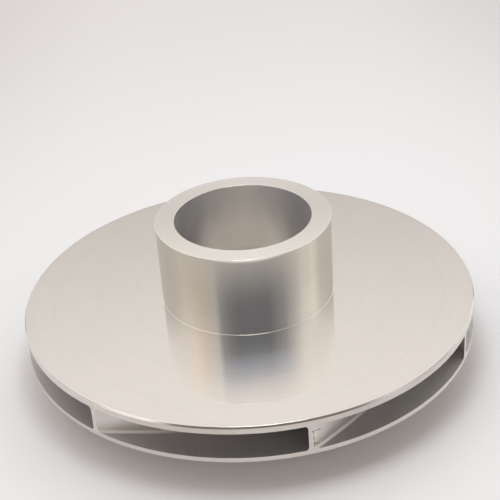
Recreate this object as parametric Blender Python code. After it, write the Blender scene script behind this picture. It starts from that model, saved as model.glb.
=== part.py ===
"""Closed radial impeller of a centrifugal pump: two shrouds, seven swept vanes, a suction neck and a flared hub.

Metres. The Z axis is the shaft axis and points towards the suction eye. Z = 0 is the rear face of the hub.
"""

from math import cos, pi, radians, sin, sqrt, tan

import bmesh
import bpy

# Discs
OUTER_RADIUS = 0.1045
FRONT_SHROUD_THICKNESS = 0.0031
BACK_SHROUD_THICKNESS = 0.0028
OUTLET_WIDTH = 0.0120
RIM_CHAMFER = 0.0006

# Suction neck, the ring that runs in the casing's wear ring
NECK_RADIUS = 0.04025
NECK_HEIGHT = 0.0380
EYE_RADIUS = 0.03135
THROAT_RADIUS = 0.0080
NECK_CHAMFER = 0.0004

# Hub, keyed to the shaft and clamped between a shoulder behind and a nut in the eye
BOSS_DROP = 0.0140
HUB_RADIUS = 0.0190
HUB_NOSE_HEIGHT = 0.0050
HUB_CHAMFER = 0.0010
FLARE_RADIUS = 0.0050
FLARE_LAND = 0.0010
FLARE_TOP_ANGLE = 215.0
BORE_RADIUS = 0.0120
BORE_CHAMFER = 0.0005
KEYWAY_WIDTH = 0.0080
KEYWAY_DEPTH = 0.0033

# Vanes, from the inlet to the rim: (radius, angle to the circle there) and (radius, thickness)
VANE_COUNT = 7
VANE_START = radians(-77.9)
INLET_RADIUS = 0.0270
BLADE_ANGLES = ((INLET_RADIUS, radians(30.0)), (0.0920, radians(18.5)), (OUTER_RADIUS, radians(31.5)))
BLADE_THICKNESSES = ((INLET_RADIUS, 0.0012), (0.0360, 0.0030), (0.0880, 0.0030), (OUTER_RADIUS, 0.00105))
INLET_STEP = 0.0020
INLET_SLOPE = tan(radians(62.0))

# Clearance that keeps neighbouring pieces from touching
JOINT_GAP = 0.0003

# Fineness of the curves
RIM_STEPS = 120
CORE_STEPS = 60
ARC_STEPS = 6
VANE_STEPS = 30
SWEEP_STEPS = 400
SMOOTH_BELOW = radians(32.0)

# Heights along the axis
BACK_UNDERSIDE = BOSS_DROP
PASSAGE_FLOOR = BACK_UNDERSIDE + BACK_SHROUD_THICKNESS
PASSAGE_ROOF = PASSAGE_FLOOR + OUTLET_WIDTH
FRONT_TOP = PASSAGE_ROOF + FRONT_SHROUD_THICKNESS
NECK_TOP = FRONT_TOP + NECK_HEIGHT
NOSE_TOP = PASSAGE_FLOOR + HUB_NOSE_HEIGHT
FLARE_OUTSIDE = HUB_RADIUS + FLARE_RADIUS + FLARE_LAND


def clear_scene():
    for item in list(bpy.data.objects):
        bpy.data.objects.remove(item)


def metal(name, colour, roughness):
    material = bpy.data.materials.new(name)
    material.use_nodes = True
    shader = material.node_tree.nodes["Principled BSDF"]
    shader.inputs["Base Color"].default_value = (*colour, 1.0)
    shader.inputs["Metallic"].default_value = 1.0
    shader.inputs["Roughness"].default_value = roughness
    material.diffuse_color = (*colour, 1.0)
    return material


def finished_mesh(bm, name, material):
    """The mesh with its faces pointing out, smooth on its round sides and sharp at its edges."""
    bmesh.ops.recalc_face_normals(bm, faces=bm.faces)
    mesh = bpy.data.meshes.new(name)
    bm.to_mesh(mesh)
    bm.free()
    mesh.materials.append(material)
    mesh.shade_smooth()
    mesh.set_sharp_from_angle(angle=SMOOTH_BELOW)
    return mesh


def placed(name, mesh, parent):
    piece = bpy.data.objects.new(name, mesh)
    piece.parent = parent
    bpy.context.scene.collection.objects.link(piece)
    return piece


def arc(centre, radius, start, end):
    """Points (radius, height) along an arc of a turned outline. Angles are in degrees from the outward direction."""
    turns = [radians(start + (end - start) * step / ARC_STEPS) for step in range(ARC_STEPS + 1)]
    return [(centre[0] + radius * cos(turn), centre[1] + radius * sin(turn)) for turn in turns]


def turned_mesh(name, outline, steps, material):
    """A closed outline of (radius, height) points, turned once round the axis."""
    bm = bmesh.new()
    verts = [bm.verts.new((radius, 0.0, height)) for radius, height in outline]
    edges = [bm.edges.new((verts[i - 1], verts[i])) for i in range(len(verts))]
    bmesh.ops.spin(
        bm,
        geom=verts + edges,
        cent=(0.0, 0.0, 0.0),
        axis=(0.0, 0.0, 1.0),
        angle=2.0 * pi,
        steps=steps,
        use_merge=True,
    )
    return finished_mesh(bm, name, material)


def front_shroud_outline():
    inside = NECK_RADIUS + JOINT_GAP
    return [
        (inside, PASSAGE_ROOF),
        (OUTER_RADIUS, PASSAGE_ROOF),
        (OUTER_RADIUS, FRONT_TOP - RIM_CHAMFER),
        (OUTER_RADIUS - RIM_CHAMFER, FRONT_TOP),
        (inside, FRONT_TOP),
    ]


def back_shroud_outline():
    inside = FLARE_OUTSIDE + JOINT_GAP
    return [
        (inside, BACK_UNDERSIDE),
        (OUTER_RADIUS - RIM_CHAMFER, BACK_UNDERSIDE),
        (OUTER_RADIUS, BACK_UNDERSIDE + RIM_CHAMFER),
        (OUTER_RADIUS, PASSAGE_FLOOR),
        (inside, PASSAGE_FLOOR),
    ]


def suction_neck_outline():
    """The neck's wall, with the throat rounded where the water turns from the eye into the passages."""
    throat_centre = (EYE_RADIUS + THROAT_RADIUS, PASSAGE_ROOF + THROAT_RADIUS)
    return [
        (NECK_RADIUS, PASSAGE_ROOF),
        (NECK_RADIUS, NECK_TOP - NECK_CHAMFER),
        (NECK_RADIUS - NECK_CHAMFER, NECK_TOP),
        (EYE_RADIUS + NECK_CHAMFER, NECK_TOP),
        (EYE_RADIUS, NECK_TOP - NECK_CHAMFER),
        *arc(throat_centre, THROAT_RADIUS, 180.0, 270.0),
    ]


def hub_outline():
    """The sleeve on the shaft, from its rear face to its nose in the eye."""
    return [
        (BORE_RADIUS + BORE_CHAMFER, 0.0),
        (HUB_RADIUS - HUB_CHAMFER, 0.0),
        (HUB_RADIUS, HUB_CHAMFER),
        (HUB_RADIUS, NOSE_TOP - HUB_CHAMFER),
        (HUB_RADIUS - HUB_CHAMFER, NOSE_TOP),
        (BORE_RADIUS + BORE_CHAMFER, NOSE_TOP),
        (BORE_RADIUS, NOSE_TOP - BORE_CHAMFER),
        (BORE_RADIUS, BORE_CHAMFER),
    ]


def hub_flare_outline():
    """The ring that carries the back shroud on the hub and turns the water outwards."""
    inside = HUB_RADIUS + JOINT_GAP
    flare = arc((HUB_RADIUS + FLARE_RADIUS, PASSAGE_FLOOR + FLARE_RADIUS), FLARE_RADIUS, 270.0, FLARE_TOP_ANGLE)
    return [
        (inside, BACK_UNDERSIDE),
        (FLARE_OUTSIDE, BACK_UNDERSIDE),
        (FLARE_OUTSIDE, PASSAGE_FLOOR),
        *flare,
        (inside, flare[-1][1]),
    ]


def between(stations, radius):
    """The value at this radius, on straight lines between (radius, value) stations."""
    for (low, start), (high, end) in zip(stations, stations[1:]):
        if radius <= high:
            break
    return start + (end - start) * (radius - low) / (high - low)


def swept_angle(radius):
    """How far round the axis a vane's outer face has gone between the rim and this radius."""
    step = (OUTER_RADIUS - radius) / SWEEP_STEPS
    middles = [radius + step * (i + 0.5) for i in range(SWEEP_STEPS)]
    return sum(step / (middle * tan(between(BLADE_ANGLES, middle))) for middle in middles)


def vane_foot(radius):
    """Height of a vane's lower edge, just above the back shroud and the hub's flare."""
    inside_flare = max(0.0, HUB_RADIUS + FLARE_RADIUS - radius)
    rise = FLARE_RADIUS - sqrt(FLARE_RADIUS**2 - inside_flare**2)
    return PASSAGE_FLOOR + rise + JOINT_GAP


def vane_top(radius):
    """Height of a vane's upper edge: the sloped inlet edge, then just under the throat and the front shroud."""
    inside_throat = min(THROAT_RADIUS, max(0.0, EYE_RADIUS + THROAT_RADIUS - radius))
    roof = PASSAGE_ROOF + THROAT_RADIUS - sqrt(THROAT_RADIUS**2 - inside_throat**2)
    inlet_edge = PASSAGE_FLOOR + INLET_STEP + INLET_SLOPE * (radius - INLET_RADIUS)
    return min(inlet_edge, roof - JOINT_GAP)


def vane_mesh(material):
    """One vane, standing between the shrouds, with its outer face leaving the rim at angle 0."""
    bm = bmesh.new()
    rows = []
    for step in range(VANE_STEPS + 1):
        radius = INLET_RADIUS + (OUTER_RADIUS - INLET_RADIUS) * step / VANE_STEPS
        outer = swept_angle(radius)
        along_circle = between(BLADE_THICKNESSES, radius) / sin(between(BLADE_ANGLES, radius))
        faces = (outer - along_circle / radius, outer)
        rows.append(
            [bm.verts.new((radius * cos(turn), radius * sin(turn), vane_foot(radius))) for turn in faces]
        )
    for near, far in zip(rows, rows[1:]):
        bm.faces.new((near[0], far[0], far[1], near[1]))
    raised = bmesh.ops.extrude_face_region(bm, geom=bm.faces[:])["geom"]
    for item in raised:
        if isinstance(item, bmesh.types.BMVert):
            item.co.z = vane_top(item.co.xy.length)
    return finished_mesh(bm, "vane", material)


def keyway_cutter(parent):
    """A bar that cuts the key's slot from the bore towards +X, along the whole hub."""
    bm = bmesh.new()
    bmesh.ops.create_cube(bm, size=1.0)
    length = NOSE_TOP + 2.0 * HUB_CHAMFER
    reach = BORE_RADIUS + KEYWAY_DEPTH
    bmesh.ops.scale(bm, verts=bm.verts, vec=(reach, KEYWAY_WIDTH, length))
    bmesh.ops.translate(bm, verts=bm.verts, vec=(reach / 2.0, 0.0, NOSE_TOP / 2.0))
    mesh = bpy.data.meshes.new("keyway_cutter")
    bm.to_mesh(mesh)
    bm.free()
    cutter = placed("keyway_cutter", mesh, parent)
    cutter.hide_render = True
    cutter.display_type = "WIRE"
    return cutter


def make_hub(parent):
    steel = metal("hub_steel", (0.52, 0.50, 0.47), 0.34)
    hub = placed("hub", turned_mesh("hub", hub_outline(), CORE_STEPS, steel), parent)
    slot = hub.modifiers.new("keyway", "BOOLEAN")
    slot.operation = "DIFFERENCE"
    slot.solver = "EXACT"
    slot.object = keyway_cutter(parent)


def make_impeller():
    impeller = placed("impeller", None, None)
    front_steel = metal("front_shroud_steel", (0.67, 0.63, 0.58), 0.24)
    back_steel = metal("back_shroud_steel", (0.62, 0.59, 0.55), 0.28)
    neck_steel = metal("suction_neck_steel", (0.66, 0.62, 0.56), 0.22)
    flare_steel = metal("hub_flare_steel", (0.50, 0.48, 0.45), 0.40)
    vane_steel = metal("vane_steel", (0.50, 0.48, 0.45), 0.42)
    placed("front_shroud", turned_mesh("front_shroud", front_shroud_outline(), RIM_STEPS, front_steel), impeller)
    placed("back_shroud", turned_mesh("back_shroud", back_shroud_outline(), RIM_STEPS, back_steel), impeller)
    placed("suction_neck", turned_mesh("suction_neck", suction_neck_outline(), CORE_STEPS, neck_steel), impeller)
    placed("hub_flare", turned_mesh("hub_flare", hub_flare_outline(), CORE_STEPS, flare_steel), impeller)
    make_hub(impeller)
    vane = vane_mesh(vane_steel)
    for number in range(VANE_COUNT):
        piece = placed(f"vane_{number + 1}", vane, impeller)
        piece.rotation_euler.z = VANE_START + 2.0 * pi * number / VANE_COUNT


clear_scene()
make_impeller()
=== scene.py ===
"""Looks of a closed pump impeller in turned stainless steel, made around the fixed frame of its solid model.

Metres. The Z axis is the shaft axis and points towards the suction eye. Z = 0 is the rear face of the hub.
"""

from math import cos, pi, radians, sin, sqrt, tan

import bmesh
import bpy
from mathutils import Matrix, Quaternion, Vector


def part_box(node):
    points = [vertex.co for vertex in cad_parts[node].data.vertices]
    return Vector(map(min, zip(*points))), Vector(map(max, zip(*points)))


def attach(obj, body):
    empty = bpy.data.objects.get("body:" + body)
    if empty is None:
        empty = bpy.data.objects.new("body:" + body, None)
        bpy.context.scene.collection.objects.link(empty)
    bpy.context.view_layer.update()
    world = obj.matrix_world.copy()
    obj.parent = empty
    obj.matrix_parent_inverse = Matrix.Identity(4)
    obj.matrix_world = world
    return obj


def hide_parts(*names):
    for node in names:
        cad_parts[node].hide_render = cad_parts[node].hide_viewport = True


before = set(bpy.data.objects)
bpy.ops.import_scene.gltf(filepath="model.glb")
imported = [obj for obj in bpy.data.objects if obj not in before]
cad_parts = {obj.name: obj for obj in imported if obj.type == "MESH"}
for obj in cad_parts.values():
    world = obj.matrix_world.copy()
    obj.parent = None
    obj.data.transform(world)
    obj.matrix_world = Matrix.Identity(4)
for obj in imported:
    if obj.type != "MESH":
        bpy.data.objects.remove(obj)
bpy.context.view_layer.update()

# Sizes read from the frame
front_low, front_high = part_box("front_shroud")
back_low, back_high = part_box("back_shroud")
neck_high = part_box("suction_neck")[1]
hub_low, hub_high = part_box("hub")
OUTER_RADIUS = front_high.x
PASSAGE_ROOF = front_low.z
FRONT_TOP = front_high.z
BACK_UNDERSIDE = back_low.z
PASSAGE_FLOOR = back_high.z
NECK_RADIUS = neck_high.x
NECK_TOP = neck_high.z
HUB_RADIUS = hub_high.x
HUB_REAR = hub_low.z
NOSE_TOP = hub_high.z

# Bores and rounds inside those sizes
EYE_RADIUS = 0.03135
THROAT_RADIUS = 0.0080
FLARE_RADIUS = 0.0050
BORE_RADIUS = 0.0120
KEYWAY_WIDTH = 0.0080
KEYWAY_DEPTH = 0.0033

# Broken edges and fillets
RIM_CHAMFER = 0.0006
EDGE_ROUND = 0.0002
NECK_EDGE = 0.00012
NECK_FOOT = 0.00022
HUB_CHAMFER = 0.0010
BORE_CHAMFER = 0.0005
BOSS_FILLET = 0.0035
SEAM_OVERLAP = 0.00004
EDGE_HOLD = 0.00003

# Vanes, from the inlet to the rim: (radius, angle to the circle there) and (radius, thickness)
VANE_COUNT = 7
VANE_START = radians(-77.9)
INLET_RADIUS = 0.0270
BLADE_ANGLES = ((INLET_RADIUS, radians(30.0)), (0.0920, radians(18.5)), (OUTER_RADIUS, radians(31.5)))
BLADE_THICKNESSES = ((INLET_RADIUS, 0.0012), (0.0360, 0.0030), (0.0880, 0.0030), (OUTER_RADIUS, 0.00105))
INLET_STEP = 0.0020
INLET_SLOPE = tan(radians(62.0))
INNER_FILLET = (0.00075, 0.0019)
OUTER_FILLET = (0.0014, 0.0014)

# Dark lines and a spot on the vane end at the front, partly painted shade along its edges and partly knocks
# and burrs, as (start, end), and how far each spreads to its sides
SHADE_AND_NICK_LINES = (
    ((0.02145, -0.10228, 0.02600), (0.02491, -0.09932, 0.02470)),
    ((0.02192, -0.10216, 0.02576), (0.02197, -0.10210, 0.02471)),
    ((0.02204, -0.10204, 0.02319), (0.02205, -0.10202, 0.02131)),
    ((0.02206, -0.10202, 0.02020), (0.02203, -0.10205, 0.01839)),
    ((0.02215, -0.10190, 0.01960), (0.02400, -0.10020, 0.01840)),
    ((0.02150, -0.10224, 0.02582), (0.02240, -0.10146, 0.02548)),
)
SHADE_AND_NICK_REACH = (0.00030, 0.00006)

# Fineness of the curves. Sides longer than HELD_ABOVE get a point EDGE_HOLD from each end.
HELD_ABOVE = 20.0 * EDGE_HOLD
SPIN_STEPS = 360
EDGE_STEPS = 4
NECK_STEPS = 6
THROAT_STEPS = 16
FLARE_STEPS = 18
BOSS_FILLET_STEPS = 8
VANE_STEPS = 72
VANE_CROWDING = 1.25
FILLET_STEPS = 7
SWEEP_STEPS = 400
SMOOTH_BELOW = radians(35.0)
MERGE_BELOW = 1e-7
RIM_WITHIN = 1e-5

# The rounds that meet the hub stop just short of its wall, at these angles in degrees from outwards
FLARE_END = 182.0
BOSS_FILLET_START = 176.0

# How much of a face's normal lies along the axis where the face is flat, is the first half of the round
# beside a flat, or slopes
FLAT = 0.9
HALF_ROUND = 0.8
SLOPED = 0.3


def arc(centre, radius, start, end, steps):
    """Points (radius, height) along an arc of a turned outline, at angles in degrees from outwards."""
    turns = [radians(start + (end - start) * step / steps) for step in range(steps + 1)]
    return [(centre[0] + radius * cos(turn), centre[1] + radius * sin(turn)) for turn in turns]


def node(tree, kind, inputs=None, **settings):
    """A new node in the tree, with its settings, and its inputs as values or as links from other nodes."""
    made = tree.nodes.new(kind)
    for name, value in settings.items():
        setattr(made, name, value)
    for socket, value in (inputs or {}).items():
        if isinstance(value, bpy.types.NodeSocket):
            tree.links.new(value, made.inputs[socket])
        else:
            made.inputs[socket].default_value = value
    return made


def maths(tree, operation, *values, clamp=False):
    """The result of one sum on values or links."""
    inputs = dict(enumerate(values))
    return node(tree, "ShaderNodeMath", inputs, operation=operation, use_clamp=clamp).outputs[0]


def ramp(tree, value, start, end, low=0.0, high=1.0):
    """Smoothly from low to high as the value goes from start to end."""
    inputs = {"Value": value, "From Min": start, "From Max": end, "To Min": low, "To Max": high}
    return node(tree, "ShaderNodeMapRange", inputs, interpolation_type="SMOOTHSTEP").outputs["Result"]


def profile(tree, value, stops):
    """The value's place on straight lines between (angle in degrees, level) stops."""
    first, last = stops[0][0], stops[-1][0]
    inputs = {"Value": value, "From Min": radians(first), "From Max": radians(last)}
    place = node(tree, "ShaderNodeMapRange", inputs)
    line = node(tree, "ShaderNodeValToRGB", {"Fac": place.outputs["Result"]})
    points = line.color_ramp.elements
    for angle, _ in stops[1:-1]:
        points.new((angle - first) / (last - first))
    for point, (_, level) in zip(points, stops):
        point.color = (level, level, level, 1.0)
    return line.outputs["Color"]


def vector_maths(tree, operation, *values, output="Vector", **inputs):
    """The result of one sum on vectors."""
    inputs = {**dict(enumerate(values)), **inputs}
    return node(tree, "ShaderNodeVectorMath", inputs, operation=operation).outputs[output]


def mixed(tree, factor, first, second):
    """A colour between two others."""
    inputs = {"Factor": factor, "A": first, "B": second}
    return node(tree, "ShaderNodeMix", inputs, data_type="RGBA").outputs["Result"]


def new_group(name, inputs, outputs):
    """A shader node group with its sockets, and the nodes that stand for them inside."""
    group = bpy.data.node_groups.new(name, "ShaderNodeTree")
    for socket, value in inputs.items():
        made = group.interface.new_socket(socket, in_out="INPUT", socket_type="NodeSocketFloat")
        made.default_value = value
    for socket in outputs:
        group.interface.new_socket(socket, in_out="OUTPUT", socket_type="NodeSocketFloat")
    return group, group.nodes.new("NodeGroupInput"), group.nodes.new("NodeGroupOutput")


# How many of the soft patches lie side by side in a metre, on turned and on cast steel
SMUDGES_PER_METRE = 34.0
BLOTCHES_PER_METRE = 90.0


def make_turning_marks():
    """Grooves that a lathe tool leaves, round the axis on flat faces and on walls alike."""
    group, given, result = new_group(
        "turning_marks",
        {"Pitch": 0.0003, "Band Width": 0.004},
        ["Groove", "Band", "Smudge"],
    )
    place = node(group, "ShaderNodeTexCoord").outputs["Object"]
    parts = node(group, "ShaderNodeSeparateXYZ", {0: place})
    flat = node(group, "ShaderNodeCombineXYZ", {0: parts.outputs[0], 1: parts.outputs[1]})
    radius = vector_maths(group, "LENGTH", flat.outputs[0], output="Value")
    section = node(group, "ShaderNodeCombineXYZ", {0: radius, 1: parts.outputs[2]}).outputs[0]
    for socket, width, detail in (("Groove", "Pitch", 2.0), ("Band", "Band Width", 3.0)):
        turns = maths(group, "DIVIDE", 1.0, given.outputs[width])
        inputs = {"Vector": section, "Scale": turns, "Detail": detail, "Roughness": 0.6}
        noise = node(group, "ShaderNodeTexNoise", inputs, noise_dimensions="2D")
        group.links.new(noise.outputs["Fac"], result.inputs[socket])
    inputs = {"Vector": place, "Scale": SMUDGES_PER_METRE, "Detail": 4.0, "Roughness": 0.62}
    smudge = node(group, "ShaderNodeTexNoise", {**inputs, "Distortion": 0.6})
    group.links.new(smudge.outputs["Fac"], result.inputs["Smudge"])
    return group


def make_cast_skin():
    """The fine grain and the soft blotches of a blasted casting."""
    group, given, result = new_group("cast_skin", {"Grain": 0.0004}, ["Grain", "Blotch"])
    place = node(group, "ShaderNodeTexCoord").outputs["Object"]
    turns = maths(group, "DIVIDE", 1.0, given.outputs["Grain"])
    inputs = {"Vector": place, "Scale": turns, "Detail": 3.0, "Roughness": 0.55}
    grain = node(group, "ShaderNodeTexNoise", inputs)
    inputs = {"Vector": place, "Scale": BLOTCHES_PER_METRE, "Detail": 4.0, "Roughness": 0.6}
    blotch = node(group, "ShaderNodeTexNoise", inputs)
    group.links.new(grain.outputs["Fac"], result.inputs["Grain"])
    group.links.new(blotch.outputs["Fac"], result.inputs["Blotch"])
    return group


def make_shade_and_nicks():
    """Vane end lines, partly painted shade, partly knocks: 1 in the middle of a line, 0 away from all of
    them.
    """
    group, _, result = new_group("shade_and_nicks", {}, ["Nick"])
    place = node(group, "ShaderNodeTexCoord").outputs["Object"]
    worst = None
    for start, end in SHADE_AND_NICK_LINES:
        run = Vector(end) - Vector(start)
        offset = vector_maths(group, "SUBTRACT", place, start)
        along = vector_maths(group, "DOT_PRODUCT", offset, run, output="Value")
        share = maths(group, "MULTIPLY", along, 1.0 / run.length_squared, clamp=True)
        back = vector_maths(group, "SCALE", run, Scale=share)
        gap = vector_maths(group, "DISTANCE", offset, back, output="Value")
        shade_and_nick_mask = ramp(group, gap, *SHADE_AND_NICK_REACH)
        worst = maths(group, "MAXIMUM", worst, shade_and_nick_mask) if worst else shade_and_nick_mask
    group.links.new(worst, result.inputs["Nick"])
    return group


def make_fade():
    """How much painted light and shade lies at a place: none before Start and all of Cover past End, in one
    direction.
    """
    axes = ("Along X", "Along Y", "Along Z")
    values = {**dict.fromkeys(axes, 0.0), "Start": 0.0, "End": 1.0, "Cover": 1.0}
    group, given, result = new_group("fade", values, ["Film"])
    place = node(group, "ShaderNodeTexCoord").outputs["Object"]
    direction = node(group, "ShaderNodeCombineXYZ", {i: given.outputs[axis] for i, axis in enumerate(axes)})
    reach = vector_maths(group, "DOT_PRODUCT", place, direction.outputs[0], output="Value")
    painted_tone = ramp(group, reach, given.outputs["Start"], given.outputs["End"], 0.0, given.outputs["Cover"])
    group.links.new(painted_tone, result.inputs["Film"])
    return group


turning_marks = make_turning_marks()
cast_skin = make_cast_skin()
shade_and_nicks = make_shade_and_nicks()
fade = make_fade()

# How the noises turn into lighter and darker, and into duller and glossier places
BAND_SHARE = 0.55
SMUDGE_SHARE = 0.45
TONE_RANGE = (0.30, 0.70)
GLOSS_RANGE = (0.25, 0.75)
TURNED_GLOSS = (1.08, 0.92)
CAST_GLOSS = (1.10, 0.90)
QUARTER_TURN = 0.25


def new_material(name):
    material = bpy.data.materials.new(name)
    material.use_nodes = True
    return material, material.node_tree, material.node_tree.nodes["Principled BSDF"]


def give_surface(tree, patches, gloss, relief, depth):
    """Duller and glossier patches on the steel, and its relief."""
    steel = tree.nodes["Principled BSDF"]
    tree.links.new(ramp(tree, patches, *GLOSS_RANGE, *gloss), steel.inputs["Roughness"])
    bump = node(tree, "ShaderNodeBump", {"Height": relief, "Distance": depth, "Strength": 1.0})
    tree.links.new(bump.outputs["Normal"], steel.inputs["Normal"])


def turned_steel(name, light, dark, roughness, anisotropy, pitch, depth, metal=1.0):
    """Satin steel from the lathe: grooves round the axis stretch each reflection across them."""
    material, tree, steel = new_material(name)
    marks = node(tree, "ShaderNodeGroup", {"Pitch": pitch}, node_tree=turning_marks)
    smudge = maths(tree, "MULTIPLY", marks.outputs["Smudge"], SMUDGE_SHARE)
    tone = maths(tree, "MULTIPLY_ADD", marks.outputs["Band"], BAND_SHARE, smudge)
    tone = ramp(tree, tone, *TONE_RANGE)
    tree.links.new(mixed(tree, tone, (*dark, 1.0), (*light, 1.0)), steel.inputs["Base Color"])
    gloss = [roughness * share for share in TURNED_GLOSS]
    give_surface(tree, marks.outputs["Smudge"], gloss, marks.outputs["Groove"], depth)
    round_axis = node(tree, "ShaderNodeTangent", direction_type="RADIAL", axis="Z")
    tree.links.new(round_axis.outputs[0], steel.inputs["Tangent"])
    steel.inputs["Metallic"].default_value = metal
    steel.inputs["Anisotropic"].default_value = anisotropy
    steel.inputs["Anisotropic Rotation"].default_value = QUARTER_TURN
    return material


def lay_over(material, cover, colour):
    """A colour over the steel's own, as thick as the cover says."""
    tree = material.node_tree
    steel = tree.nodes["Principled BSDF"]
    bare = steel.inputs["Base Color"].links[0].from_socket
    tree.links.new(mixed(tree, cover, bare, colour), steel.inputs["Base Color"])


def add_painted_tone(material, colour, fades, together="ADD"):
    """Light and shade painted over the steel, with its fades added up or multiplied."""
    tree = material.node_tree
    thickness = None
    for axis, start, end, cover in fades:
        inputs = {f"Along {axis}": 1.0, "Start": start, "End": end, "Cover": cover}
        painted_tone = node(tree, "ShaderNodeGroup", inputs, node_tree=fade).outputs["Film"]
        thickness = maths(tree, together, thickness, painted_tone, clamp=True) if thickness else painted_tone
    lay_over(material, thickness, colour)


# Lays the vane end's dark lines, partly painted shade, over a steel
def add_shade_and_nicks(material):
    shade_and_nick_mask = node(material.node_tree, "ShaderNodeGroup", node_tree=shade_and_nicks).outputs["Nick"]
    lay_over(material, shade_and_nick_mask, SHADE_AND_NICK)


def cast_steel(name, light, dark, roughness, grain, depth, metal=1.0, painted_deep=None):
    """Steel as cast and cleaned, duller than the turned faces. Light and shade painted by radius show inside
    DEEP_RADII.
    """
    material, tree, steel = new_material(name)
    skin = node(tree, "ShaderNodeGroup", {"Grain": grain}, node_tree=cast_skin)
    tone = ramp(tree, skin.outputs["Blotch"], *TONE_RANGE)
    colour = mixed(tree, tone, (*dark, 1.0), (*light, 1.0))
    # Light and shade painted by radius: darker deeper in on the vanes, lighter deeper in on the passage
    # walls
    if painted_deep:
        place = node(tree, "ShaderNodeTexCoord").outputs["Object"]
        flat = vector_maths(tree, "MULTIPLY", place, (1.0, 1.0, 0.0))
        radius = vector_maths(tree, "LENGTH", flat, output="Value")
        colour = mixed(tree, ramp(tree, radius, *DEEP_RADII), (*painted_deep, 1.0), colour)
    tree.links.new(colour, steel.inputs["Base Color"])
    gloss = [roughness * share for share in CAST_GLOSS]
    give_surface(tree, skin.outputs["Blotch"], gloss, skin.outputs["Grain"], depth)
    steel.inputs["Metallic"].default_value = metal
    return material


# The steels, as (lighter, darker) colours. Inside these radii a casting takes its painted light and shade.
DEEP_RADII = (0.0880, 0.1035)
FACED = turned_steel(
    "faced_steel", (0.871, 0.853, 0.823), (0.842, 0.824, 0.794),
    roughness=0.038, anisotropy=0.60, pitch=0.00045, depth=0.0000003,
)
# A darker copy of the faced steel on the chamfers and rounds: painted shade for the dark line along the rims
EDGE = turned_steel(
    "edge_steel", (0.660, 0.640, 0.615), (0.620, 0.600, 0.575),
    roughness=0.10, anisotropy=0.50, pitch=0.00045, depth=0.0000003,
)
# Two copies of one rim steel: painted shade on the front rim and vane tips, painted light on the back rim
RIM = turned_steel(
    "rim_steel", (0.810, 0.780, 0.740), (0.700, 0.670, 0.630),
    roughness=0.46, anisotropy=0.75, pitch=0.00035, depth=0.0000020,
)
BACK_RIM = turned_steel(
    "back_rim_steel", (0.835, 0.800, 0.760), (0.775, 0.740, 0.700),
    roughness=0.50, anisotropy=0.75, pitch=0.00035, depth=0.0000020, metal=0.8,
)
NECK = turned_steel(
    "neck_steel", (0.872, 0.852, 0.800), (0.846, 0.826, 0.774),
    roughness=0.042, anisotropy=0.70, pitch=0.00040, depth=0.0000003,
)
# A lighter copy of the neck steel on its top face: painted light
LIP = turned_steel(
    "lip_steel", (0.990, 0.972, 0.915), (0.965, 0.947, 0.890),
    roughness=0.150, anisotropy=0.78, pitch=0.00040, depth=0.0000010,
)
# A lighter copy of the neck steel on the bore's wall: painted light
BORED = turned_steel(
    "bored_steel", (0.985, 0.938, 0.870), (0.965, 0.918, 0.850),
    roughness=0.30, anisotropy=0.80, pitch=0.00040, depth=0.0000020, metal=0.75,
)
# The vanes' cast steel, with painted shade deeper in, inside DEEP_RADII
CAST = cast_steel(
    "cast_steel", (0.860, 0.832, 0.795), (0.800, 0.772, 0.735), painted_deep=(0.44, 0.42, 0.40),
    roughness=0.50, grain=0.0007, depth=0.000012, metal=0.55,
)
# A darker copy of the cast steel on the passage roofs and floors: painted shade, lighter deeper in
PASSAGE = cast_steel(
    "passage_steel", (0.450, 0.440, 0.435), (0.410, 0.400, 0.395), painted_deep=(0.56, 0.55, 0.555),
    roughness=0.50, grain=0.0007, depth=0.000012, metal=0.6,
)
# Near-white, mostly diffuse steel in the eye and on the hub's top: painted light that brightens the bore
EYE_FLOOR = cast_steel(
    "eye_steel", (0.985, 0.960, 0.905), (0.960, 0.935, 0.880),
    roughness=0.60, grain=0.0006, depth=0.000006, metal=0.25,
)

# Light and shade painted over those steels, each with its fades: (axis, where the fade starts,
# where it is full, how much it covers there)
# Painted shade: the bore darker on its left and right walls and towards its mouth
BORE_PAINTED_SHADE = (0.52, 0.53, 0.56, 1.0)
BORE_FADES = (("X", -0.0140, -0.0310, 0.80), ("X", 0.0140, 0.0310, 0.80), ("Z", 0.0450, 0.0680, 0.52))
# Painted shade: the neck's top face darker towards the back
LIP_PAINTED_SHADE = (0.70, 0.69, 0.66, 1.0)
LIP_FADES = (("Y", -0.0330, 0.0330, 0.34),)
# Painted shade: the back shroud's rim and the vanes darker towards the left
LEFT_SHADE_RIM = (0.55, 0.54, 0.52, 1.0)
LEFT_SHADE_CAST = (0.64, 0.62, 0.59, 1.0)
LEFT_SHADE_FADES = (("X", -0.0100, -0.0850, 0.60),)
# Painted light: the chamfers and rounds lighter on the left of the rim
PAINTED_EDGE_LIGHT = (0.98, 0.955, 0.92, 1.0)
EDGE_LIGHT_FADES = (("X", -0.0200, -0.0620, 0.75), ("X", -0.0850, -0.0740, 1.0))
# Painted light: the passage roofs and floors lighter towards the left and right
PAINTED_SIDE_LIGHT = (0.85, 0.84, 0.80, 1.0)
SIDE_LIGHT_FADES = (("X", -0.0300, -0.0950, 0.42), ("X", 0.0300, 0.0950, 0.66))
# Painted shade: the vanes darker in a band just above their foot fillets
SCALE = (0.40, 0.385, 0.365, 1.0)
FOOT_SHADE_FADES = (("Z", 0.0174, 0.0178, 0.52), ("Z", 0.0235, 0.0182, 1.0))
# Colour of the dark lines on the vane end: partly painted shade, partly knocks and burrs
SHADE_AND_NICK = (0.13, 0.12, 0.11, 1.0)
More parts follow.
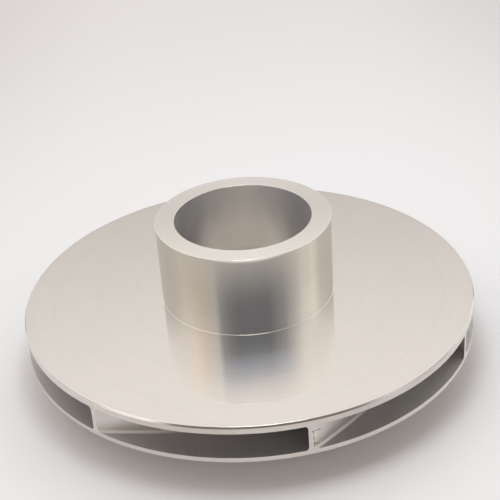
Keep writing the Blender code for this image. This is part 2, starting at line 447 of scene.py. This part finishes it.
# The painted light and shade laid on the steels, and the vane end's dark lines; SCALE is painted shade
add_painted_tone(BORED, BORE_PAINTED_SHADE, BORE_FADES)
add_painted_tone(LIP, LIP_PAINTED_SHADE, LIP_FADES)
add_painted_tone(BACK_RIM, LEFT_SHADE_RIM, LEFT_SHADE_FADES)
add_painted_tone(CAST, LEFT_SHADE_CAST, LEFT_SHADE_FADES)
add_painted_tone(EDGE, PAINTED_EDGE_LIGHT, EDGE_LIGHT_FADES, "MULTIPLY")
add_painted_tone(PASSAGE, PAINTED_SIDE_LIGHT, SIDE_LIGHT_FADES)
add_painted_tone(CAST, SCALE, FOOT_SHADE_FADES, "MULTIPLY")
add_shade_and_nicks(CAST)
add_shade_and_nicks(RIM)


def new_object(name, bm):
    """The object, at the origin, for a mesh under construction."""
    mesh = bpy.data.meshes.new(name)
    bm.to_mesh(mesh)
    bm.free()
    made = bpy.data.objects.new(name, mesh)
    bpy.context.scene.collection.objects.link(made)
    return made


def finished_piece(bm, name, materials, choose, slot, *nodes):
    """A piece that rides with the part: faces out, smooth rounds and a material on each face."""
    bmesh.ops.remove_doubles(bm, verts=bm.verts, dist=MERGE_BELOW)
    bmesh.ops.recalc_face_normals(bm, faces=bm.faces)
    for face in bm.faces:
        face.material_index = materials.index(choose(face))
    piece = new_object(name, bm)
    for material in materials:
        piece.data.materials.append(material)
    piece.data.shade_smooth()
    piece.data.set_sharp_from_angle(angle=SMOOTH_BELOW)
    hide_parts(*nodes)
    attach(piece, "root")


def held(outline):
    """The outline with a point close to each end of its long sides, so that they shade as straight."""
    points = []
    for start, end in zip(outline, outline[1:] + outline[:1]):
        start, end = Vector(start), Vector(end)
        points.append(start)
        length = (end - start).length
        if length > HELD_ABOVE:
            points += [start.lerp(end, EDGE_HOLD / length), end.lerp(start, EDGE_HOLD / length)]
    return points


def turned(outline):
    """A closed outline of (radius, height) points, turned once round the axis."""
    bm = bmesh.new()
    verts = [bm.verts.new((radius, 0.0, height)) for radius, height in held(outline)]
    edges = [bm.edges.new((verts[i - 1], verts[i])) for i in range(len(verts))]
    bmesh.ops.spin(
        bm,
        geom=verts + edges,
        cent=(0.0, 0.0, 0.0),
        axis=(0.0, 0.0, 1.0),
        angle=2.0 * pi,
        steps=SPIN_STEPS,
        use_merge=True,
    )
    return bm


def centre_radius(face):
    return face.calc_center_median().xy.length


def front_disc():
    """The front shroud, turned on its face and rim, as cast on the side that roofs the passages."""
    at_flat = (OUTER_RADIUS - RIM_CHAMFER - EDGE_ROUND, FRONT_TOP - EDGE_ROUND)
    at_wall = (OUTER_RADIUS - EDGE_ROUND, FRONT_TOP - RIM_CHAMFER - EDGE_ROUND)
    flat_to_slope = arc(at_flat, EDGE_ROUND, 90.0, 45.0, EDGE_STEPS)
    slope_to_wall = arc(at_wall, EDGE_ROUND, 45.0, 0.0, EDGE_STEPS)
    bm = turned([
        (NECK_RADIUS, FRONT_TOP),
        *flat_to_slope,
        *slope_to_wall,
        (OUTER_RADIUS, PASSAGE_ROOF),
        (NECK_RADIUS, PASSAGE_ROOF),
    ])

    def choose(face):
        if face.normal.z < -FLAT:
            return PASSAGE
        if face.normal.z > SLOPED:
            return FACED if face.normal.z > HALF_ROUND else EDGE
        return RIM

    finished_piece(bm, "front_disc", [FACED, EDGE, RIM, PASSAGE], choose, "shroud_steel", "front_shroud")


def back_disc():
    """The back shroud, turned underneath and on its rim, as cast on the side that floors the passages."""
    inside = HUB_RADIUS + FLARE_RADIUS
    at_wall = (OUTER_RADIUS - EDGE_ROUND, BACK_UNDERSIDE + RIM_CHAMFER + EDGE_ROUND)
    at_flat = (OUTER_RADIUS - RIM_CHAMFER - EDGE_ROUND, BACK_UNDERSIDE + EDGE_ROUND)
    wall_to_slope = arc(at_wall, EDGE_ROUND, 0.0, -45.0, EDGE_STEPS)
    slope_to_flat = arc(at_flat, EDGE_ROUND, -45.0, -90.0, EDGE_STEPS)
    bm = turned([
        (inside, PASSAGE_FLOOR),
        (EYE_RADIUS + THROAT_RADIUS, PASSAGE_FLOOR),
        (OUTER_RADIUS, PASSAGE_FLOOR),
        *wall_to_slope,
        *slope_to_flat,
        (inside, BACK_UNDERSIDE),
    ])

    def choose(face):
        if face.normal.z > FLAT:
            return PASSAGE if centre_radius(face) > EYE_RADIUS + THROAT_RADIUS else EYE_FLOOR
        if face.normal.z < -SLOPED:
            return FACED if face.normal.z < -FLAT else EDGE
        return BACK_RIM

    materials = [FACED, EDGE, BACK_RIM, PASSAGE, EYE_FLOOR]
    finished_piece(bm, "back_disc", materials, choose, "shroud_steel", "back_shroud")


def neck_ring():
    """The suction neck, with a small foot fillet outside and the throat's round inside."""
    at_foot = (NECK_RADIUS + NECK_FOOT, FRONT_TOP + NECK_FOOT - SEAM_OVERLAP)
    at_outer_edge = (NECK_RADIUS - NECK_EDGE, NECK_TOP - NECK_EDGE)
    at_inner_edge = (EYE_RADIUS + NECK_EDGE, NECK_TOP - NECK_EDGE)
    at_throat = (EYE_RADIUS + THROAT_RADIUS, PASSAGE_ROOF + THROAT_RADIUS)
    foot = arc(at_foot, NECK_FOOT, 270.0, 180.0, NECK_STEPS)
    outer_edge = arc(at_outer_edge, NECK_EDGE, 0.0, 90.0, NECK_STEPS)
    inner_edge = arc(at_inner_edge, NECK_EDGE, 90.0, 180.0, NECK_STEPS)
    throat = arc(at_throat, THROAT_RADIUS, 180.0, 270.0, THROAT_STEPS)
    bm = turned([
        (NECK_RADIUS, PASSAGE_ROOF),
        (NECK_RADIUS, FRONT_TOP - SEAM_OVERLAP),
        *foot,
        *outer_edge,
        *inner_edge,
        *throat,
    ])

    def choose(face):
        middle = face.calc_center_median()
        if middle.z < PASSAGE_ROOF + THROAT_RADIUS and middle.xy.length < NECK_RADIUS - NECK_EDGE:
            return EYE_FLOOR
        if face.normal.z > SLOPED and middle.z > NECK_TOP - NECK_EDGE:
            return LIP
        return BORED if middle.xy.length < EYE_RADIUS + SEAM_OVERLAP else NECK

    finished_piece(bm, "neck_ring", [NECK, LIP, BORED, EYE_FLOOR], choose, "neck_steel", "suction_neck")


def hub_flare():
    """The ring that turns the water outwards, with the fillet under it that carries the boss."""
    at_flare = (HUB_RADIUS + FLARE_RADIUS, PASSAGE_FLOOR + FLARE_RADIUS)
    at_fillet = (HUB_RADIUS + BOSS_FILLET, BACK_UNDERSIDE - BOSS_FILLET)
    flare = arc(at_flare, FLARE_RADIUS, 270.0, FLARE_END, FLARE_STEPS)
    fillet = arc(at_fillet, BOSS_FILLET, BOSS_FILLET_START, 90.0, BOSS_FILLET_STEPS)
    bm = turned([*fillet, (HUB_RADIUS + FLARE_RADIUS, BACK_UNDERSIDE), *flare])

    def choose(face):
        return EYE_FLOOR if face.normal.z > 0.0 and centre_radius(face) > HUB_RADIUS else FACED

    finished_piece(bm, "hub_flare_ring", [EYE_FLOOR, FACED], choose, "vane_steel", "hub_flare")


def hub_sleeve():
    """The hub on the shaft, bored and with its keyway cut through."""
    bm = turned([
        (BORE_RADIUS + BORE_CHAMFER, HUB_REAR),
        (HUB_RADIUS - HUB_CHAMFER, HUB_REAR),
        (HUB_RADIUS, HUB_REAR + HUB_CHAMFER),
        (HUB_RADIUS, NOSE_TOP - HUB_CHAMFER),
        (HUB_RADIUS - HUB_CHAMFER, NOSE_TOP),
        (BORE_RADIUS + BORE_CHAMFER, NOSE_TOP),
        (BORE_RADIUS, NOSE_TOP - BORE_CHAMFER),
        (BORE_RADIUS, HUB_REAR + BORE_CHAMFER),
    ])
    bmesh.ops.recalc_face_normals(bm, faces=bm.faces)
    body = new_object("whole_hub", bm)
    bar = bmesh.new()
    bmesh.ops.create_cube(bar, size=1.0)
    reach = BORE_RADIUS + KEYWAY_DEPTH
    past_both_ends = 1.2 * NOSE_TOP
    bmesh.ops.scale(bar, verts=bar.verts, vec=(reach, KEYWAY_WIDTH, past_both_ends))
    bmesh.ops.translate(bar, verts=bar.verts, vec=(reach / 2.0, 0.0, NOSE_TOP / 2.0))
    cutter = new_object("keyway_bar", bar)
    slot = body.modifiers.new("keyway", "BOOLEAN")
    slot.operation = "DIFFERENCE"
    slot.solver = "EXACT"
    slot.object = cutter
    graph = bpy.context.evaluated_depsgraph_get()
    cut = bmesh.new()
    cut.from_mesh(body.evaluated_get(graph).to_mesh())
    for helper in (body, cutter):
        bpy.data.objects.remove(helper)

    def choose(face):
        if face.normal.z > SLOPED:
            return EYE_FLOOR
        return BORED if centre_radius(face) < HUB_RADIUS - HUB_CHAMFER else FACED

    finished_piece(cut, "hub_sleeve", [FACED, BORED, EYE_FLOOR], choose, "hub_steel", "hub")


def between(stations, radius):
    """The value at this radius, on straight lines between (radius, value) stations."""
    for (low, start), (high, end) in zip(stations, stations[1:]):
        if radius <= high:
            break
    return start + (end - start) * (radius - low) / (high - low)


def swept_angle(radius):
    """How far round the axis a vane's outer face has gone between the rim and this radius."""
    step = (OUTER_RADIUS - radius) / SWEEP_STEPS
    middles = [radius + step * (i + 0.5) for i in range(SWEEP_STEPS)]
    return sum(step / (middle * tan(between(BLADE_ANGLES, middle))) for middle in middles)


def vane_foot(radius):
    """Height where a vane meets the back shroud or the hub's flare."""
    inside_flare = max(0.0, HUB_RADIUS + FLARE_RADIUS - radius)
    return PASSAGE_FLOOR + FLARE_RADIUS - sqrt(FLARE_RADIUS**2 - inside_flare**2)


def vane_crest(radius):
    """Height of a vane's upper edge, and whether that edge is the free inlet edge."""
    inside_throat = min(THROAT_RADIUS, max(0.0, EYE_RADIUS + THROAT_RADIUS - radius))
    roof = PASSAGE_ROOF + THROAT_RADIUS - sqrt(THROAT_RADIUS**2 - inside_throat**2)
    inlet_edge = PASSAGE_FLOOR + INLET_STEP + INLET_SLOPE * (radius - INLET_RADIUS)
    return min(inlet_edge, roof), inlet_edge < roof


def vane_point(radius, side, end, turn, hold, start):
    """A point on a vane's inner (side 0) or outer face (1): turn runs up a fillet, hold goes past it."""
    thickness = between(BLADE_THICKNESSES, radius)
    steepness = sin(between(BLADE_ANGLES, radius))
    run, rise = OUTER_FILLET if side else INNER_FILLET
    crest, free = vane_crest(radius)
    if end == "crest" and free:
        # The free inlet edge is rounded over and has no fillet
        run, rise = -thickness / 2.0, thickness / 2.0
    up = rise * (1.0 - cos(turn)) + hold
    out = run * (1.0 - sin(turn))
    middle = (vane_foot(radius) + crest) / 2.0
    if end == "foot":
        height = min(vane_foot(radius) - SEAM_OVERLAP + up, middle)
    else:
        height = max(crest + (0.0 if free else SEAM_OVERLAP) - up, middle)
    offset = out if side else -thickness - out
    angle = start + swept_angle(radius) + offset / (radius * steepness)
    return Vector((radius * cos(angle), radius * sin(angle), height))


def vane(number):
    """One vane between the shrouds, filleted to both, with its tip flush with the rim."""
    start = VANE_START + 2.0 * pi * number / VANE_COUNT
    turns = [pi / 2.0 * step / FILLET_STEPS for step in range(FILLET_STEPS + 1)]
    levels = [("foot", turn, 0.0) for turn in turns] + [("foot", pi / 2.0, EDGE_HOLD)]
    levels += [("crest", pi / 2.0, EDGE_HOLD)] + [("crest", turn, 0.0) for turn in reversed(turns)]
    bm = bmesh.new()
    on_side = bm.verts.layers.int.new("side")
    rows = []
    for step in range(VANE_STEPS + 1):
        radius = INLET_RADIUS + (OUTER_RADIUS - INLET_RADIUS) * (step / VANE_STEPS) ** VANE_CROWDING
        row = [bm.verts.new(vane_point(radius, side, *levels[0], start)) for side in (0, 1)]
        for side, vert in enumerate(row):
            vert[on_side] = side
        rows.append(row)
    for near, far in zip(rows, rows[1:]):
        bm.faces.new((near[0], far[0], far[1], near[1]))
    top = bm.faces[:]
    for level in levels[1:]:
        raised = bmesh.ops.extrude_face_region(bm, geom=top)["geom"]
        top = [item for item in raised if isinstance(item, bmesh.types.BMFace)]
        for item in raised:
            if isinstance(item, bmesh.types.BMVert):
                item.co = vane_point(min(item.co.xy.length, OUTER_RADIUS), item[on_side], *level, start)

    def choose(face):
        at_rim = all(vert.co.xy.length > OUTER_RADIUS - RIM_WITHIN for vert in face.verts)
        return RIM if at_rim else CAST

    finished_piece(bm, f"vane_{number + 1}_skin", [CAST, RIM], choose, "vane_steel", f"vane_{number + 1}")


# The camera, where the photograph was taken from
CAMERA_PLACE = Vector((0.002281, -0.445504, 0.304868))
CAMERA_AIM = Vector((0.002211, 0.0085, 0.046987))
CAMERA_ROLL = radians(-4.197)
CAMERA_LENS = 79.83
CAMERA_SENSOR = 36.0
CAMERA_NEAREST = 0.01


def place_camera():
    camera = bpy.data.objects.new("camera", bpy.data.cameras.new("camera"))
    bpy.context.scene.collection.objects.link(camera)
    camera.data.sensor_width = CAMERA_SENSOR
    camera.data.lens = CAMERA_LENS
    camera.data.clip_start = CAMERA_NEAREST
    camera.location = CAMERA_PLACE
    level = (CAMERA_AIM - CAMERA_PLACE).to_track_quat("-Z", "Y")
    camera.rotation_mode = "QUATERNION"
    camera.rotation_quaternion = level @ Quaternion((0.0, 0.0, 1.0), CAMERA_ROLL)
    bpy.context.scene.camera = camera


# The floor: its paper's tones and tooth, and painted shade that darkens it towards the far corners, as
# (from, to) across and back
FLOOR_SIZE = 6.0
PAPER_TONES = ((0.846, 0.840, 0.838, 1.0), (0.866, 0.860, 0.858, 1.0))
PAINTED_CORNER_SHADE = (0.740, 0.730, 0.730, 1.0)
PAPER_TOOTH = 900.0
PAPER_ROUGHNESS = 0.7
CORNERS_ACROSS = (0.08, 0.30)
CORNERS_BACK = (-0.05, 0.50)


def lay_floor():
    """A pale paper sheet that runs past the edges of the view."""
    bm = bmesh.new()
    bmesh.ops.create_grid(bm, x_segments=1, y_segments=1, size=FLOOR_SIZE)
    floor = new_object("floor", bm)
    material, tree, paper = new_material("pale_paper")
    place = node(tree, "ShaderNodeTexCoord").outputs["Object"]
    tooth = node(tree, "ShaderNodeTexNoise", {"Vector": place, "Scale": PAPER_TOOTH, "Detail": 2.0})
    white = mixed(tree, tooth.outputs["Fac"], *PAPER_TONES)
    parts = node(tree, "ShaderNodeSeparateXYZ", {0: place})
    # Painted shade: the paper darker towards the far corners
    aside = ramp(tree, maths(tree, "ABSOLUTE", parts.outputs[0]), *CORNERS_ACROSS)
    corners = maths(tree, "MULTIPLY", aside, ramp(tree, parts.outputs[1], *CORNERS_BACK))
    tree.links.new(mixed(tree, corners, white, PAINTED_CORNER_SHADE), paper.inputs["Base Color"])
    paper.inputs["Roughness"].default_value = PAPER_ROUGHNESS
    floor.data.materials.append(material)


# Light: a warm white room, brighter overhead, as (azimuth edge, elevation edge) ramps in degrees from the
# camera's direction and from the horizon
FOOT_FRONT = (0.58, 0.48, 0.40, 1.0)
FOOT_BACK = (1.24, 1.24, 1.27, 1.0)
ROOM_LOW = (0.45, 0.425, 0.415, 1.0)
ROOM_BACK = (0.91, 0.86, 0.815, 1.0)
ROOM_FRONT = (1.06, 1.00, 0.99, 1.0)
ROOM_FRONT_LOW = (0.68, 0.645, 0.62, 1.0)
ROOM_UPPER = (1.30, 1.245, 1.23, 1.0)
CEILING = (0.27, 0.23, 0.20, 1.0)
BACK_RAMP = (16.0, 39.0)
FRONT_RAMP = (30.0, 37.5)
UPPER_RAMP = (40.0, 43.0)
CEILING_RAMP = (43.0, 47.0)
CEILING_SLANT = 0.06
FOOT_ACROSS = (
    (-180.0, 1.0), (-140.0, 0.85), (-100.0, 0.65), (-75.0, 0.55), (-45.0, 0.0),
    (45.0, 0.0), (75.0, 0.45), (100.0, 0.60), (130.0, 1.0), (180.0, 1.0),
)
FOOT_RAMP = (18.0, 24.5)
FRONT_TO_BACK = (152.0, 166.0)

# What stands in front and shows in the steel, as (degrees, how much of it) from left to right and from below
# upwards: a dark panel with a paler blue top, and the greyer walls to each side
PANEL_ACROSS = (
    (-82.0, 0.0), (-46.0, 0.37), (-38.0, 0.78), (-28.0, 0.92), (-15.0, 1.0), (25.0, 1.0),
    (46.0, 0.78), (58.0, 0.50), (74.0, 0.10), (84.0, 0.0),
)
PANEL_UP = (
    (27.8, 0.0), (30.3, 0.46), (31.3, 0.80), (32.3, 1.0), (35.03, 1.0), (35.14, 0.79),
    (35.83, 0.72), (36.13, 0.53), (36.52, 0.28), (37.2, 0.08), (37.9, 0.0),
)
PANEL_DARK = (0.172, 0.174, 0.192, 1.0)
PANEL_PALE = (0.21, 0.27, 0.38, 1.0)
PANEL_TOP = (34.95, 35.35)
PANEL_SLANT = 0.0035
CEILING_ACROSS = ((-60.0, 0.0), (-46.0, 1.0), (85.0, 1.0), (110.0, 0.0))
WARM_ACROSS = ((-125.0, 0.0), (-95.0, 0.35), (-78.0, 0.9), (-65.0, 1.0), (-45.0, 0.0))
WARM_UP = ((20.0, 0.0), (29.0, 0.15), (31.0, 1.0), (35.5, 1.0), (37.0, 0.0))
WARM = (1.03, 0.955, 0.875, 1.0)
GLEAM_ACROSS = ((66.0, 0.0), (78.0, 0.4), (86.0, 0.4), (95.0, 1.0), (104.0, 0.5), (112.0, 0.0))
GLEAM_UP = ((20.0, 0.0), (28.0, 1.0), (32.5, 1.0), (33.8, 0.0))
GLEAM = (1.27, 1.26, 1.22, 1.0)
SIDES_ACROSS = (
    (-167.0, 0.0), (-158.0, 0.8), (-125.0, 0.92), (-113.0, 0.85), (-93.0, 0.32), (-82.0, 0.45),
    (-60.0, 0.42), (-48.0, 0.36), (-38.0, 0.0),
    (85.0, 0.0), (115.0, 0.5), (150.0, 1.0), (158.0, 0.8), (167.0, 0.0),
)
SIDES_UP = ((22.0, 0.0), (27.0, 1.0), (32.0, 1.0), (34.0, 0.0))
SIDES = (0.58, 0.545, 0.51, 1.0)

# Two softboxes: one overhead, and a cool one behind that lights the floor there
OVERHEAD_SOFTBOX = {
    "place": Vector((0.010, -0.040, 0.50)), "aim": Vector((0.0, 0.0, 0.0)),
    "size": 0.18, "power": 0.55, "colour": (0.91, 0.98, 1.06),
}
REAR_SOFTBOX = {
    "place": Vector((0.10, 0.25, 0.42)), "aim": Vector((0.10, 0.25, 0.0)),
    "size": 0.20, "power": 0.080, "colour": (0.64, 1.00, 1.28),
}


def degrees_ramp(tree, angle, edges, low=0.0, high=1.0):
    return ramp(tree, angle, radians(edges[0]), radians(edges[1]), low, high)


def patch(tree, azimuth, across, elevation, up):
    """How much of something stands in a direction, from left to right and from below upwards."""
    return maths(tree, "MULTIPLY", profile(tree, azimuth, across), profile(tree, elevation, up))


def light_room():
    world = bpy.data.worlds.new("studio")
    world.use_nodes = True
    bpy.context.scene.world = world
    tree = world.node_tree
    tree.nodes.clear()
    direction = node(tree, "ShaderNodeTexCoord").outputs["Generated"]
    parts = node(tree, "ShaderNodeSeparateXYZ", {0: direction})
    towards_camera = maths(tree, "MULTIPLY", parts.outputs[1], -1.0)
    azimuth = maths(tree, "ARCTAN2", parts.outputs[0], towards_camera)
    elevation = maths(tree, "ARCSINE", parts.outputs[2])
    back = mixed(tree, degrees_ramp(tree, elevation, BACK_RAMP), ROOM_LOW, ROOM_BACK)
    front = mixed(tree, degrees_ramp(tree, elevation, FRONT_RAMP), ROOM_FRONT_LOW, ROOM_FRONT)
    aside = maths(tree, "ABSOLUTE", azimuth)
    colour = mixed(tree, degrees_ramp(tree, aside, FRONT_TO_BACK), front, back)
    colour = mixed(tree, degrees_ramp(tree, elevation, UPPER_RAMP), colour, ROOM_UPPER)
    sagging = maths(tree, "MULTIPLY_ADD", aside, CEILING_SLANT, elevation)
    overhead = degrees_ramp(tree, sagging, CEILING_RAMP)
    ceiling = maths(tree, "MULTIPLY", profile(tree, azimuth, CEILING_ACROSS), overhead)
    colour = mixed(tree, ceiling, colour, CEILING)
    foot = mixed(tree, profile(tree, azimuth, FOOT_ACROSS), FOOT_FRONT, FOOT_BACK)
    colour = mixed(tree, degrees_ramp(tree, elevation, FOOT_RAMP), foot, colour)
    sides = patch(tree, azimuth, SIDES_ACROSS, elevation, SIDES_UP)
    colour = mixed(tree, sides, colour, SIDES)
    warm = patch(tree, azimuth, WARM_ACROSS, elevation, WARM_UP)
    tinge = mixed(tree, warm, (1.0, 1.0, 1.0, 1.0), WARM)
    gleam = patch(tree, azimuth, GLEAM_ACROSS, elevation, GLEAM_UP)
    tinge = mixed(tree, gleam, tinge, GLEAM)
    colour = vector_maths(tree, "MULTIPLY", colour, tinge)
    slanted = maths(tree, "MULTIPLY_ADD", azimuth, PANEL_SLANT, elevation)
    panel = patch(tree, azimuth, PANEL_ACROSS, slanted, PANEL_UP)
    tint = mixed(tree, degrees_ramp(tree, slanted, PANEL_TOP), PANEL_DARK, PANEL_PALE)
    colour = mixed(tree, panel, colour, tint)
    background = node(tree, "ShaderNodeBackground", {"Color": colour, "Strength": 1.0})
    output = node(tree, "ShaderNodeOutputWorld")
    tree.links.new(background.outputs[0], output.inputs["Surface"])


def hang_softbox(name, place, aim, size, power, colour):
    """A round soft light that looks at a point."""
    lamp = bpy.data.lights.new(name, "AREA")
    lamp.shape = "DISK"
    lamp.size = size
    lamp.energy = power
    lamp.color = colour
    holder = bpy.data.objects.new(name, lamp)
    holder.location = place
    holder.rotation_mode = "QUATERNION"
    holder.rotation_quaternion = (aim - place).to_track_quat("-Z", "Y")
    bpy.context.scene.collection.objects.link(holder)
    return holder


place_camera()
light_room()
hang_softbox("overhead_softbox", **OVERHEAD_SOFTBOX)
rear = hang_softbox("rear_softbox", **REAR_SOFTBOX)
rear.visible_glossy = False
lay_floor()
front_disc()
back_disc()
neck_ring()
hub_flare()
hub_sleeve()
for number in range(VANE_COUNT):
    vane(number)
bpy.context.scene.view_settings.view_transform = "Standard"
bpy.context.scene.cycles.glossy_bounces = 10
